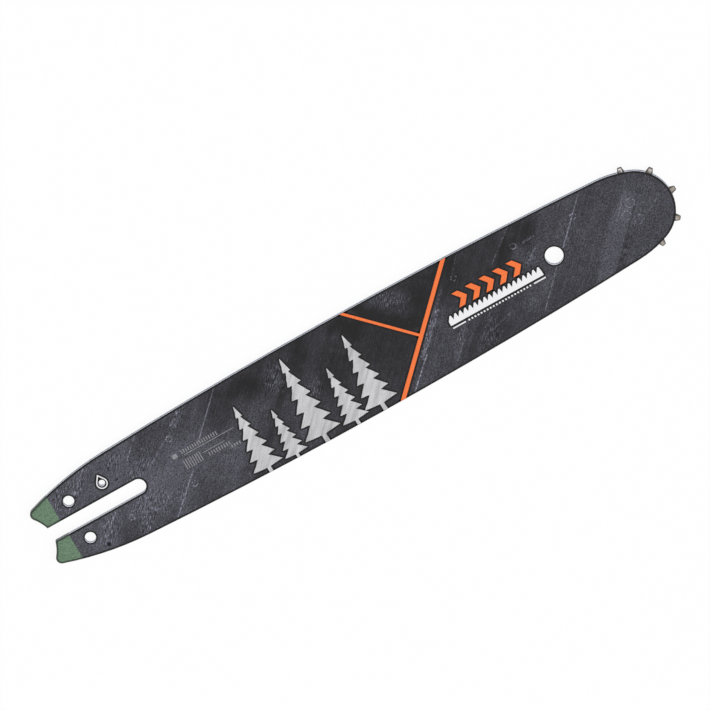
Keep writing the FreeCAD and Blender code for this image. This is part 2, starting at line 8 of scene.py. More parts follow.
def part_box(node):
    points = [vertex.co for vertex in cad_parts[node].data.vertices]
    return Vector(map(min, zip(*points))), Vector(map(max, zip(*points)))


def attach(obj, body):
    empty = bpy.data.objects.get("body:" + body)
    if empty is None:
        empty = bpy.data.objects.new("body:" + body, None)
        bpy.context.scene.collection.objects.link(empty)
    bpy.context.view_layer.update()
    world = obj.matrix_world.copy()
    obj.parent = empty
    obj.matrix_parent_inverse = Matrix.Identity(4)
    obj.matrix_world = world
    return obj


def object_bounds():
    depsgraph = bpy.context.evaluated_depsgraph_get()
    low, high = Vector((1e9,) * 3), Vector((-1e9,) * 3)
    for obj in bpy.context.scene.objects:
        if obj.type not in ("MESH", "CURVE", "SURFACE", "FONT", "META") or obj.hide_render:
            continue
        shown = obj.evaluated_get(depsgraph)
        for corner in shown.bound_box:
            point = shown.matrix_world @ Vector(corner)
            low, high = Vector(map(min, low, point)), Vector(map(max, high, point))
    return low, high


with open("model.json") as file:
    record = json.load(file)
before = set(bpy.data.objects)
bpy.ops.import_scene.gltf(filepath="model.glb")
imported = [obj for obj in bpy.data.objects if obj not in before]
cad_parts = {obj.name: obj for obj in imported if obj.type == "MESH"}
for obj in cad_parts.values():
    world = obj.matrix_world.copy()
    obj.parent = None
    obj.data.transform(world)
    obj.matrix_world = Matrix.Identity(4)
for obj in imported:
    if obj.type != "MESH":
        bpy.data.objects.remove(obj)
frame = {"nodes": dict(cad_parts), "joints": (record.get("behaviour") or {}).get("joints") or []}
cad_low, cad_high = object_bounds()


# The core plate. It is the middle one of the three welded plates, of hardened steel left bare, and it is set
# back from the long edges, so that its own edge is the floor of the chain groove, dark with bar oil.
# Sizes are in millimetres, and places along and across the face are measured from the nose axis.
MM = 0.001
nodes = frame["nodes"]
nose = Vector(next(j for j in frame["joints"] if j["name"] == "sprocket_spin")["pos_m"])
core_grey = (0.16, 0.16, 0.17, 1)
oil_brown = (0.022, 0.019, 0.017, 1)


def add_node(tree, kind, sockets=None, out=0, **settings):
    """A shader node, its sockets given values or joined to outputs. It gives back one of its outputs."""
    made = tree.nodes.new("ShaderNode" + kind)
    for name, value in settings.items():
        setattr(made, name, value)
    for key, value in (sockets or {}).items():
        if isinstance(value, bpy.types.NodeSocket):
            tree.links.new(value, made.inputs[key])
        else:
            made.inputs[key].default_value = value
    return made.outputs[out]


def maths(tree, operation, *values):
    """One step of arithmetic on numbers or outputs."""
    return add_node(tree, "Math", dict(enumerate(values)), operation=operation)


def ramp(tree, value, low, high, least=0.0, most=1.0):
    """Goes smoothly from least to most while value goes from low to high."""
    given = {"Value": value, "From Min": low, "From Max": high, "To Min": least, "To Max": most}
    return add_node(tree, "MapRange", given, interpolation_type="SMOOTHSTEP")


def mix_colours(tree, share, first, second):
    """The first colour where the share is 0, and the second where it is 1."""
    given = {"Factor": share, 6: first, 7: second}
    return add_node(tree, "Mix", given, out=2, data_type="RGBA")


def noise(tree, place, scale, detail):
    """Cloudy noise about 0.5, finer where the scale is larger."""
    return add_node(tree, "TexNoise", {"Vector": place, "Scale": scale, "Detail": detail})


def start_group(name, inputs, outputs):
    """A node group with named sockets: a tuple makes a vector, a number a value. It gives back both ends."""
    tree = bpy.data.node_groups.new(name, "ShaderNodeTree")
    for label, default in inputs.items():
        kind = "NodeSocketVector" if isinstance(default, tuple) else "NodeSocketFloat"
        tree.interface.new_socket(label, in_out="INPUT", socket_type=kind).default_value = default
    for label, kind in outputs.items():
        tree.interface.new_socket(label, in_out="OUTPUT", socket_type="NodeSocket" + kind)
    return tree, tree.nodes.new("NodeGroupInput").outputs, tree.nodes.new("NodeGroupOutput").inputs


def use_group(tree, group, given, out=0):
    """Puts a node group into a tree. It gives back one of its outputs, or all of them where out is None."""
    made = tree.nodes.new("ShaderNodeGroup")
    made.node_tree = group
    for key, value in given.items():
        if isinstance(value, bpy.types.NodeSocket):
            tree.links.new(value, made.inputs[key])
        else:
            made.inputs[key].default_value = value
    return made.outputs if out is None else made.outputs[out]


def start_material(name):
    """A material with one Principled shader, and millimetres from the nose axis as its coordinates."""
    material = bpy.data.materials.new(name)
    material.use_nodes = True
    tree = material.node_tree
    place = add_node(tree, "TexCoord", out="Object")
    shift = {"Vector": place, "Location": (-nose.x / MM, 0, 0), "Scale": (1 / MM, 1 / MM, 1 / MM)}
    return material, tree, tree.nodes["Principled BSDF"].inputs, add_node(tree, "Mapping", shift)


def raise_bumps(tree, shader, height, depth):
    """Joins a height of 0 to 1 to the shader's normal, as bumps of that depth in millimetres."""
    given = {"Height": height, "Distance": depth * MM, "Strength": 1.0}
    tree.links.new(add_node(tree, "Bump", given), shader["Normal"])


# Ground steel has fine lines along the way it was ground.
ground_lines, given, result = start_group(
    "ground lines", {"Position": (0.0, 0.0, 0.0), "Length": 8.0, "Width": 0.12}, {"Value": "Float"}
)
tree = ground_lines
stretch = add_node(tree, "CombineXYZ", {
    0: maths(tree, "DIVIDE", 1.0, given["Length"]),
    1: maths(tree, "DIVIDE", 1.0, given["Width"]),
    2: maths(tree, "DIVIDE", 1.0, given["Width"]),
})
drawn = add_node(tree, "VectorMath", {0: given["Position"], 1: stretch}, operation="MULTIPLY")
lines = noise(tree, drawn, 1.0, 3.0)
tree.links.new(lines, result["Value"])

# Bar oil creeps over bare steel in soft stains.
oil_film, given, result = start_group(
    "oil film", {"Position": (0.0, 0.0, 0.0), "Stain Size": 6.0, "Cover": 0.5}, {"Mask": "Float"}
)
tree = oil_film
stain = add_node(tree, "TexNoise", {
    "Vector": given["Position"],
    "Scale": maths(tree, "DIVIDE", 1.0, given["Stain Size"]),
    "Detail": 5.0,
    "Roughness": 0.65,
})
edge = maths(tree, "SUBTRACT", 1.0, given["Cover"])
spread = ramp(tree, stain, maths(tree, "SUBTRACT", edge, 0.12), maths(tree, "ADD", edge, 0.12))
tree.links.new(spread, result["Mask"])


def steel(name, colour, roughness, metallic, cover, grind=8.0):
    """Bare ground steel, partly covered by a brown film of oil."""
    material, tree, shader, place = start_material(name)
    lines = use_group(tree, ground_lines, {"Position": place, "Length": grind})
    oil = use_group(tree, oil_film, {"Position": place, "Cover": cover})
    lightness = ramp(tree, lines, 0.3, 0.7, 0.8, 1.15)
    shade = add_node(tree, "HueSaturation", {"Value": lightness, "Color": colour})
    tree.links.new(mix_colours(tree, oil, shade, oil_brown), shader["Base Color"])
    rough = maths(tree, "MULTIPLY_ADD", lines, 0.25, roughness)
    tree.links.new(maths(tree, "MULTIPLY_ADD", oil, -0.15, rough), shader["Roughness"])
    shader["Metallic"].default_value = metallic
    raise_bumps(tree, shader, lines, 0.01)
    return material


def dress(node, material):
    """Gives a node of the frame its finish."""
    nodes[node].material_slots[0].material = material


dress("core_plate", steel("oiled core steel", core_grey, 0.45, 0.7, 0.6))


# The nose bearing. A hard steel race, held by the four rivets, carries a full ring of loose rollers, and the
# sprocket turns on them. All of them are ground bright, and packed with grease.
race_grey = (0.62, 0.62, 0.64, 1)
race_steel = steel("ground race steel", race_grey, 0.22, 1.0, 0.3, grind=3.0)
roller_steel = steel("ground roller steel", race_grey, 0.15, 1.0, 0.2, grind=1.5)
dress("bearing_inner_race", race_steel)
for node in nodes:
    if node.startswith("bearing_roller"):
        dress(node, roller_steel)


# The nose sprocket. A nine-pointed star, stamped from hardened steel. The chain's drive links rub the middle
# of its points bright in spots, while their flanks, their ends and the root stay brown with oil. Its walls,
# which face sideways, carry the same dark brown as painted shade.
star_tan = (0.25, 0.22, 0.185, 1)
star_bright = (0.62, 0.62, 0.64, 1)
star_oil_and_shade_brown = (0.035, 0.031, 0.027, 1)
tooth_pitch = 2 * math.pi / 9
rubbed_half_width = 0.75
flank_half_width = 1.15
rubbed_end, tip_end = 23.7, 24.4
oily_root, rubbed_root = 21.6, 22.2

star_steel, tree, shader, place = start_material("worn star steel")
flat = add_node(tree, "VectorMath", {0: place, 1: (1, 1, 0)}, operation="MULTIPLY")
radius = add_node(tree, "VectorMath", {0: flat}, out="Value", operation="LENGTH")
split = add_node(tree, "SeparateXYZ", {0: flat}).node.outputs
angle = maths(tree, "ARCTAN2", split["Y"], split["X"])
from_tooth = maths(tree, "WRAP", angle, tooth_pitch / 2, -tooth_pitch / 2)
across = maths(tree, "ABSOLUTE", maths(tree, "MULTIPLY", from_tooth, radius))
lines = use_group(tree, ground_lines, {"Position": place, "Length": 2.5})
blotches = noise(tree, place, 0.55, 2.0)
specks = noise(tree, place, 1.3, 1.0)
middle = ramp(tree, across, rubbed_half_width, flank_half_width, 1.0, 0.0)
middle = maths(tree, "MULTIPLY", middle, ramp(tree, radius, rubbed_end, tip_end, 1.0, 0.0))
middle = maths(tree, "MULTIPLY", middle, ramp(tree, radius, oily_root, rubbed_root, 0.0, 1.0))
rubbed = maths(tree, "MULTIPLY", middle, ramp(tree, maths(tree, "ADD", blotches, specks), 0.98, 1.2))
worn = mix_colours(tree, rubbed, star_tan, star_bright)
surface = add_node(tree, "NewGeometry", out="True Normal")
# Painted shade: faces that tilt away from up, the walls of the star, take the dark brown.
face_up = ramp(tree, add_node(tree, "SeparateXYZ", {0: surface}, out="Z"), 0.5, 0.9)
clean_and_lit = maths(tree, "MULTIPLY", face_up, ramp(tree, middle, 0.0, 1.0, 0.2, 1.0))
tree.links.new(mix_colours(tree, clean_and_lit, star_oil_and_shade_brown, worn), shader["Base Color"])
tree.links.new(maths(tree, "MULTIPLY_ADD", lines, 0.3, 0.3), shader["Roughness"])
shader["Metallic"].default_value = 0.8
raise_bumps(tree, shader, lines, 0.02)
dress("nose_sprocket", star_steel)


# The back side plate. It is sprayed with the same matt blue-grey paint as the front one, with green on the
# heels, and has no print. The walls of all its edges are ground bare after painting.
heel_edge = -346.1
heel_green = (0.127, 0.203, 0.131, 1)
rail_grey = (0.80, 0.84, 0.95, 1)
paint_haze = 0.015
paint_tint = (1.0, 0.985, 1.24)
plain_tone = 78.0
broken_edge_shade = 0.30
grain_size = 0.7
weak_grain_tone, full_grain_tone = 52.0, 74.0
screen_white, screen_gamma = 255.0, 2.2
darkest_paint = 0.002
heel_softness = 0.12
heel_grain = 1.6
heel_line_shade = 0.28
black_line_tone, plain_heel_tone = 35.0, 55.0
cloud_share = 0.25
grain_middle = 0.5 + cloud_share * 0.5
tint_wander = ((1, 0.2), (2, 0.6))

# Sprayed paint: a grey tone of 0 to 255 as the eye sees it, with a fine grain that is weaker where the paint
# is near black, a painted shade on the broken edge and on other faces that tilt away from flat, bare steel
# on the walls, and the green heels.
sprayed_paint, given, result = start_group(
    "sprayed paint",
    {"Tone": plain_tone, "Position": (0.0, 0.0, 0.0), "Surface": (0.0, 0.0, 1.0), "Grain": 85.0},
    {"Color": "Color", "Roughness": "Float", "Metallic": "Float", "Height": "Float"},
)
tree = sprayed_paint
speckle = noise(tree, given["Position"], 1 / grain_size, 0.5)
tints = add_node(tree, "SeparateColor", {0: speckle.node.outputs["Color"]}).node.outputs
clouds = noise(tree, given["Position"], 0.35, 3.0)
grain = maths(tree, "MULTIPLY_ADD", clouds, cloud_share, maths(tree, "SUBTRACT", speckle, grain_middle))
strength = ramp(tree, given["Tone"], weak_grain_tone, full_grain_tone, 0.3, 1.0)
strength = maths(tree, "MULTIPLY", given["Grain"], strength)
toned = maths(tree, "MULTIPLY_ADD", grain, strength, given["Tone"])
facing = add_node(tree, "SeparateXYZ", {0: given["Surface"]}, out="Z")
upward = maths(tree, "ABSOLUTE", facing)
flatness = ramp(tree, upward, 0.8, 0.95)
# Painted shade: the tone is darkened where the face tilts away from flat, as on the broken edge.
toned = maths(tree, "MULTIPLY", toned, ramp(tree, flatness, 0.0, 1.0, broken_edge_shade, 1.0))
light = maths(tree, "DIVIDE", maths(tree, "MAXIMUM", toned, 1.0), screen_white)
light = maths(tree, "POWER", light, screen_gamma)
light = maths(tree, "MAXIMUM", maths(tree, "SUBTRACT", light, paint_haze), darkest_paint)
greys = add_node(tree, "CombineColor", {0: maths(tree, "MULTIPLY", light, paint_tint[0])}).node
for n, change in tint_wander:
    tint = maths(tree, "MULTIPLY_ADD", tints[n], change, paint_tint[n] - change / 2)
    tree.links.new(maths(tree, "MULTIPLY", light, tint), greys.inputs[n])
along = add_node(tree, "SeparateXYZ", {0: given["Position"]}, out="X")
heel = ramp(tree, along, heel_edge - heel_softness, heel_edge + heel_softness, 1.0, 0.0)
# The green heels get the same painted shade where their faces tilt away from flat.
heel_shade = maths(tree, "MULTIPLY", maths(tree, "MULTIPLY_ADD", grain, heel_grain, 1.0), flatness)
# Where the painted edge shade crosses the heels, the green is darkened too.
line_shade = ramp(tree, given["Tone"], black_line_tone, plain_heel_tone, heel_line_shade, 1.0)
heel_shade = maths(tree, "MULTIPLY", heel_shade, line_shade)
green = add_node(tree, "HueSaturation", {"Value": heel_shade, "Color": heel_green})
painted = mix_colours(tree, heel, greys.outputs[0], green)
wall = ramp(tree, upward, 0.3, 0.5, 1.0, 0.0)
bare = maths(tree, "MULTIPLY", wall, ramp(tree, heel, 0.0, 1.0, 1.0, 0.45))
grinding = use_group(tree, ground_lines, {"Position": given["Position"], "Length": 1.6})
rail_lightness = ramp(tree, grinding, 0.3, 0.7, 0.7, 1.15)
rail = add_node(tree, "HueSaturation", {"Value": rail_lightness, "Color": rail_grey})
tree.links.new(mix_colours(tree, bare, painted, rail), result["Color"])
tree.links.new(ramp(tree, bare, 0.0, 1.0, 0.62, 0.35), result["Roughness"])
tree.links.new(bare, result["Metallic"])
tree.links.new(maths(tree, "ADD", speckle, clouds), result["Height"])


def finish_paint(tree, shader, tone, place):
    """Joins a tone to a material's shader through the sprayed paint."""
    surface = add_node(tree, "NewGeometry", out="True Normal")
    coat = use_group(tree, sprayed_paint, {"Tone": tone, "Position": place, "Surface": surface}, out=None)
    for name in ("Roughness", "Metallic"):
        tree.links.new(coat[name], shader[name])
    tree.links.new(coat["Color"], shader["Base Color"])
    shader["Specular IOR Level"].default_value = 0.25
    raise_bumps(tree, shader, coat["Height"], 0.012)


plain_paint, tree, shader, place = start_material("plain plate paint")
clouding = noise(tree, place, 0.02, 4.0)
finish_paint(tree, shader, maths(tree, "MULTIPLY_ADD", clouding, 14.0, plain_tone - 7.0), place)
dress("side_plate_back", plain_paint)


# The front side plate. Its paint is printed all over with the greys of rough boards laid at 45 degrees, with
# a near-black field in its middle, and the print has scratches and worn spots of its own.
board_turn = math.radians(-45)
front_tone = 62.5

# The marks of the print follow each other in one chain. A place goes through it with its x and y, and with
# its grey tone as the third number, which each mark changes where it lies.


def change_tone(tree, placed_tone, change):
    """Adds a change to the third number and leaves x and y."""
    raised = add_node(tree, "CombineXYZ", {"Z": change})
    return add_node(tree, "VectorMath", {0: placed_tone, 1: raised}, operation="ADD")


# A soft or sharp field of the print, lighter or darker than what is under it, its sides along the boards.
print_field, given, result = start_group(
    "print field",
    {
        "Placed Tone": (0.0, 0.0, 0.0), "Ragged": 0.0, "Centre": (0.0, 0.0, 0.0),
        "Half Length": 10.0, "Half Width": 10.0, "Softness": 0.5, "Change": 0.0,
    },
    {"Placed Tone": "Vector"},
)
tree = print_field
offset = add_node(tree, "VectorMath", {0: given["Placed Tone"], 1: given["Centre"]}, operation="SUBTRACT")
turned = add_node(tree, "VectorRotate", {"Vector": offset, "Angle": board_turn}, rotation_type="Z_AXIS")
split = add_node(tree, "SeparateXYZ", {0: turned}).node.outputs
reach = maths(tree, "DIVIDE", maths(tree, "ABSOLUTE", split["X"]), given["Half Length"])
spread = maths(tree, "DIVIDE", maths(tree, "ABSOLUTE", split["Y"]), given["Half Width"])
corner = maths(tree, "ADD", maths(tree, "POWER", reach, 4.0), maths(tree, "POWER", spread, 4.0))
ragged = maths(tree, "MULTIPLY", given["Ragged"], given["Softness"])
rim = maths(tree, "ADD", maths(tree, "POWER", corner, 0.25), ragged)
inner = maths(tree, "SUBTRACT", 1.0, given["Softness"])
cover = ramp(tree, rim, inner, maths(tree, "ADD", 1.0, given["Softness"]), 1.0, 0.0)
change = maths(tree, "MULTIPLY", cover, given["Change"])
tree.links.new(change_tone(tree, given["Placed Tone"], change), result["Placed Tone"])

# A straight scratch, broken along its length, or a dark line where the change is less than nothing.
scratch, given, result = start_group(
    "scratch",
    {
        "Placed Tone": (0.0, 0.0, 0.0), "Sway": 0.0, "Skips": 0.0, "Start": (0.0, 0.0, 0.0),
        "End": (1.0, 0.0, 0.0), "Width": 0.5, "Breaks": 1.0, "Change": 0.0,
    },
    {"Placed Tone": "Vector"},
)
tree = scratch
way = add_node(tree, "VectorMath", {0: given["End"], 1: given["Start"]}, operation="SUBTRACT")
here = add_node(tree, "VectorMath", {0: given["Placed Tone"], 1: given["Start"]}, operation="SUBTRACT")
here = add_node(tree, "VectorMath", {0: here, 1: (1, 1, 0)}, operation="MULTIPLY")
travel = add_node(tree, "VectorMath", {0: here, 1: way}, out="Value", operation="DOT_PRODUCT")
length_squared = add_node(tree, "VectorMath", {0: way, 1: way}, out="Value", operation="DOT_PRODUCT")
share = add_node(tree, "Clamp", {"Value": maths(tree, "DIVIDE", travel, length_squared)})
near = add_node(tree, "VectorMath", {0: way, "Scale": share}, operation="SCALE")
miss = add_node(tree, "VectorMath", {0: here, 1: near}, out="Value", operation="DISTANCE")
miss = maths(tree, "MULTIPLY_ADD", given["Sway"], given["Breaks"], miss)
line = ramp(tree, miss, maths(tree, "MULTIPLY", given["Width"], 0.25), given["Width"], 1.0, 0.0)
gaps = maths(tree, "MULTIPLY", given["Skips"], given["Breaks"])
line = maths(tree, "MULTIPLY", line, maths(tree, "SUBTRACT", 1.0, gaps))
change = maths(tree, "MULTIPLY", line, given["Change"])
tree.links.new(change_tone(tree, given["Placed Tone"], change), result["Placed Tone"])

# A ring over a weld or a rivet head, broken round its way, painted lighter: paint rubbed thin, and over the
# welds also a painted highlight on the raised ring.
rubbed_ring, given, result = start_group(
    "rubbed ring",
    {
        "Placed Tone": (0.0, 0.0, 0.0), "Rub": 0.0, "Centre": (0.0, 0.0, 0.0),
        "Radius": 1.6, "Width": 0.4, "Change": 0.0,
    },
    {"Placed Tone": "Vector"},
)
tree = rubbed_ring
offset = add_node(tree, "VectorMath", {0: given["Placed Tone"], 1: given["Centre"]}, operation="SUBTRACT")
offset = add_node(tree, "VectorMath", {0: offset, 1: (1, 1, 0)}, operation="MULTIPLY")
away = add_node(tree, "VectorMath", {0: offset}, out="Value", operation="LENGTH")
miss = maths(tree, "ABSOLUTE", maths(tree, "SUBTRACT", away, given["Radius"]))
ring = maths(tree, "MULTIPLY", ramp(tree, miss, 0.0, given["Width"], 1.0, 0.0), given["Rub"])
change = maths(tree, "MULTIPLY", ring, given["Change"])
tree.links.new(change_tone(tree, given["Placed Tone"], change), result["Placed Tone"])

# Streaks along the boards, of one length and width.
streaks, given, result = start_group(
    "board streaks",
    {"Position": (0.0, 0.0, 0.0), "Length": 30.0, "Width": 3.0, "Turn": board_turn},
    {"Value": "Float"},
)
tree = streaks
turning = {"Vector": given["Position"], "Angle": given["Turn"]}
turned = add_node(tree, "VectorRotate", turning, rotation_type="Z_AXIS")
stretch = add_node(tree, "CombineXYZ", {
    0: maths(tree, "DIVIDE", 1.0, given["Length"]),
    1: maths(tree, "DIVIDE", 1.0, given["Width"]),
    2: 0.0,
})
drawn = add_node(tree, "VectorMath", {0: turned, 1: stretch}, operation="MULTIPLY")
fibre = noise(tree, drawn, 1.0, 3.0)
tree.links.new(maths(tree, "SUBTRACT", fibre, 0.5), result["Value"])

# Fields of the print: middle, half length along the boards, half width across, softness, change of tone.
# They were drawn one by one, and most of their tones were then fitted to the print's greys by least squares.
broad_fields = [
    ((-318, 0), 62, 62, 0.25, 17),
    ((-20, 0), 40, 40, 0.5, 9),
]
near_black_fields = [
    ((-168.3, -11.3), 33, 22.5, 0.03, -6),
    ((-150, 5), 14, 22, 0.8, -9),
    ((-163, 21), 5, 8, 0.6, -18),
    ((-128, 29), 23.5, 22.5, 0.04, -19),
    ((-137, 24), 6.5, 13, 0.6, 20),
    ((-118, 26), 8, 7, 0.5, 6),
    ((-205, 23), 20, 16, 0.2, -10),
    ((-226, 19), 6, 7, 0.5, -16),
    ((-187, 24), 14, 6, 0.5, -8),
    ((-183, 13), 22, 3.5, 0.4, -5),
    ((-182, 3), 12, 8, 0.4, -10),
]
board_fields = [
    ((-244, 16), 13, 8, 0.5, -13),
    ((-238, -22), 16, 1.6, 0.5, -7),
    ((-219, -3), 18, 1.6, 0.6, -8),
    ((-206, 15), 11, 1.6, 0.5, 10),
    ((-212, 10), 5, 2, 0.7, 10),
    ((-196, 0), 8, 2.4, 0.5, 9),
    ((-207, -15), 14, 1.7, 0.4, 9),
    ((-200, -18), 18, 9, 0.4, 4),
    ((-283, 19), 12, 9, 0.5, -13),
    ((-317, -20), 8, 5, 0.7, -10),
    ((-288, 0), 16, 9, 0.8, 7),
    ((-262, 20), 12, 3, 0.6, -6),
    ((-327, -9), 10, 3, 0.7, 4),
    ((-304, 12), 16, 4, 0.8, 4),
    ((-270, -18), 12, 6, 0.8, -6),
    ((-232, 0), 16, 6, 0.5, 7),
    ((-252, -18), 12, 4, 0.7, 6),
    ((-246, -10), 14, 2.5, 0.6, -4),
    ((-129, -14), 24, 9, 0.15, 7),
    ((-115, -16), 11, 1.7, 0.3, 12),
    ((-106, -19), 12, 2.2, 0.4, -8),
    ((-100, -20), 12, 1.2, 0.4, -5),
    ((-89, -14), 14, 1.8, 0.4, -5),
    ((-66, -14), 10, 4.5, 0.6, 9),
    ((-88, 19), 20, 16, 0.2, -10),
    ((-104, 14), 14, 5, 0.4, -7),
    ((-66, 18), 18, 3.5, 0.3, -15),
    ((-55, 19), 7, 4, 0.6, -16),
    ((-52, -8), 16, 5, 0.6, -2),
    ((-38, 13), 16, 8, 0.6, -3),
    ((-33, 15), 20, 2.0, 0.5, 4),
    ((-44, -17), 14, 7, 0.6, -5),
    ((-16, -8), 28, 4.0, 0.25, 9),
    ((-4, 1), 8, 6, 0.7, 8),
    ((-13, -15), 14, 1.4, 0.5, -9),
    ((-12, 14), 16, 8, 0.5, -3),
    ((15, 0), 6, 8, 0.7, 3),
    ((-320, -26), 7, 6, 0.7, -11),
    ((-298, -26), 8, 7, 0.7, -8),
    ((-273, -26), 8, 6, 0.7, -9),
    ((-266, 21), 8, 6, 0.6, -5),
    ((-247, -8), 8, 6, 0.7, 7),
    ((-123, 17), 6, 4, 0.6, -8),
    ((-101, 24), 6, 4, 0.6, -6),
    ((-94, -23), 9, 4, 0.5, -8),
    ((-54, 17), 10, 6, 0.6, -5),
    ((-18, 21), 10, 6, 0.6, -4),
]
# Scratches of the print: from, to, width, breaks, change of tone.
board_scratches = [
    ((-291.5, -25), (-271.5, -6.5), 0.5, 0.8, 60),
    ((-261.5, 5.5), (-239.5, 27), 0.52, 0.5, 54),
    ((-299, 15.5), (-289, 25), 0.48, 0.8, 42),
    ((-271, 19.5), (-261.5, 26.5), 0.88, 1.0, 45),
    ((-288, 8), (-276, 15), 1.04, 1.0, 27),
    ((-340, 6), (-320, 24.5), 0.72, 1.0, 35),
    ((-332, -18.5), (-318.5, -6), 0.56, 0.8, 38),
    ((-148.5, -27.5), (-133.5, -13.5), 0.48, 0.6, 83),
    ((-136, -14), (-116.5, 5), 1.44, 1.0, 42),
    ((-142, -17), (-110, 13), 1.2, 1.0, 19),
    ((-79, 12.5), (-62, 26), 0.4, 1.0, 35),
    ((-102, 16), (-93, 26), 0.4, 0.9, 26),
    ((-67.5, -23.5), (-50.5, -6), 0.48, 0.8, 42),
    ((-42.5, 1.5), (-29, 15), 0.6, 0.5, 61),
    ((-29, 15), (-19, 25), 0.48, 0.7, 48),
    ((-62.5, 3.5), (-55, 9), 0.88, 0.9, 45),
    ((-59, 14.3), (-53, 15.0), 0.9, 1.0, 44),
    ((-12, -1.5), (4, 17), 0.4, 0.9, 22),
    ((7, -3.5), (15.5, 1.5), 0.48, 1.0, 29),
    ((-123, -26), (-112, -16), 0.56, 0.9, 29),
    ((-97, -19), (-82, -15), 0.56, 0.9, 26),
    ((-23.5, -23), (2, 3), 0.9, 0.2, -12),
    ((-30, -15), (-4, 9), 0.36, 0.6, 16),
    ((-309.5, 9.0), (-308.6, 9.3), 0.6, 0.0, -60),
]
# Rough spots, where the print has the torn grain of sawn wood: middle, half length, half width, strength.
rough_spots = [
    ((-340, 14), 7, 5, 0.9), ((-328, 19), 10, 4, 1.0), ((-306, 18), 6, 4, 0.7), ((-298, 7), 9, 4, 0.8),
    ((-289, 12), 7, 3, 0.5), ((-325, -12), 8, 4, 1.0), ((-304, -8), 8, 3.5, 0.9), ((-304, -16), 9, 3, 1.0),
    ((-294, -13), 6, 5, 0.8), ((-309, -22), 5, 2, 0.9), ((-282, -15), 4, 3, 0.7), ((-265, 22), 7, 2.5, 1.0),
    ((-208, 16), 8, 5, 1.0), ((-195, -1), 6, 3, 0.8), ((-127, -4), 12, 2, 1.0), ((-113, -14), 9, 2, 0.6),
    ((-98, -20), 8, 4, 0.8), ((-60, 5), 6, 3, 0.6), ((-37, 7), 6, 4, 0.5), ((-10, -12), 12, 1.6, 0.5),
    ((-136, 22), 4, 8, 0.8),
]
# The boards' grain, in three sizes: length, width, change of tone.
board_grain = [
    (60.0, 6.0, 10.0),
    (30.0, 1.6, 16.0),
    (14.0, 0.5, 28.0),
]
mottle_change = 18.0
torn_length, torn_width = 2.6, 0.38
torn_turn = math.radians(-52)
torn_light, torn_dark = 54.0, -42.0
least_torn = 0.12
seen_welds = [
    (-312.4, -12.9), (-274.2, 14.6), (-274.3, -13.2),
    (-100.5, 15.8), (-64.8, 15.3), (-29.6, 13.8),
]
weld_radius = 1.5
weld_highlight_width = 0.6
weld_highlight_and_rub = 75.0
rivet_boxes = [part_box(name) for name in sorted(nodes) if name.startswith("nose_rivet")]
rivet_places = [((lowest + highest) / 2 - nose) / MM for lowest, highest in rivet_boxes]
rivet_radius = 2.45
rivet_rub_width = 0.65
rubbed_rivet, whole_rivet = 44.0, 24.0

printed_paint, tree, shader, place = start_material("printed plate paint")
flat = add_node(tree, "VectorMath", {0: place, 1: (1, 1, 0)}, operation="MULTIPLY")
mottle = noise(tree, flat, 0.16, 3.0)
ragged = maths(tree, "SUBTRACT", noise(tree, flat, 0.22, 3.0), 0.5)
wander = noise(tree, flat, 0.5, 2.0)
sway = maths(tree, "MULTIPLY", maths(tree, "SUBTRACT", wander, 0.5), 0.6)
skips = ramp(tree, noise(tree, flat, 0.7, 2.0), 0.42, 0.55, 1.0, 0.0)
rub = ramp(tree, noise(tree, flat, 0.9, 2.0), 0.4, 0.58, -0.15, 1.0)
tone = front_tone
for length, width, change in board_grain:
    grain = use_group(tree, streaks, {"Position": flat, "Length": length, "Width": width})
    tone = maths(tree, "MULTIPLY_ADD", grain, change, tone)
tone = maths(tree, "MULTIPLY_ADD", maths(tree, "SUBTRACT", mottle, 0.5), mottle_change, tone)
placed = change_tone(tree, flat, tone)
for centre, half_length, half_width, softness, change in broad_fields + near_black_fields + board_fields:
    placed = use_group(tree, print_field, {
        "Placed Tone": placed, "Ragged": ragged, "Centre": (*centre, 0), "Half Length": half_length,
        "Half Width": half_width, "Softness": softness, "Change": change,
    })
# The torn grain is short dashes, each light on one side and dark on the other.
rough = change_tone(tree, flat, least_torn)
for centre, half_length, half_width, strength in rough_spots:
    rough = use_group(tree, print_field, {
        "Placed Tone": rough, "Ragged": ragged, "Centre": (*centre, 0), "Half Length": half_length,
        "Half Width": half_width, "Softness": 0.8, "Change": strength,
    })
roughness = add_node(tree, "Clamp", {"Value": add_node(tree, "SeparateXYZ", {0: rough}, out="Z")})
dashes = use_group(tree, streaks, {
    "Position": flat, "Length": torn_length, "Width": torn_width, "Turn": torn_turn,
})
light_side = ramp(tree, dashes, 0.03, 0.13)
dark_side = ramp(tree, dashes, -0.13, -0.03, 1.0, 0.0)
torn = maths(tree, "MULTIPLY", dark_side, torn_dark)
torn = maths(tree, "MULTIPLY_ADD", light_side, torn_light, torn)
placed = change_tone(tree, placed, maths(tree, "MULTIPLY", torn, roughness))
for start, end, width, breaks, change in board_scratches:
    placed = use_group(tree, scratch, {
        "Placed Tone": placed, "Sway": sway, "Skips": skips, "Start": (*start, 0), "End": (*end, 0),
        "Width": width, "Breaks": breaks, "Change": change,
    })
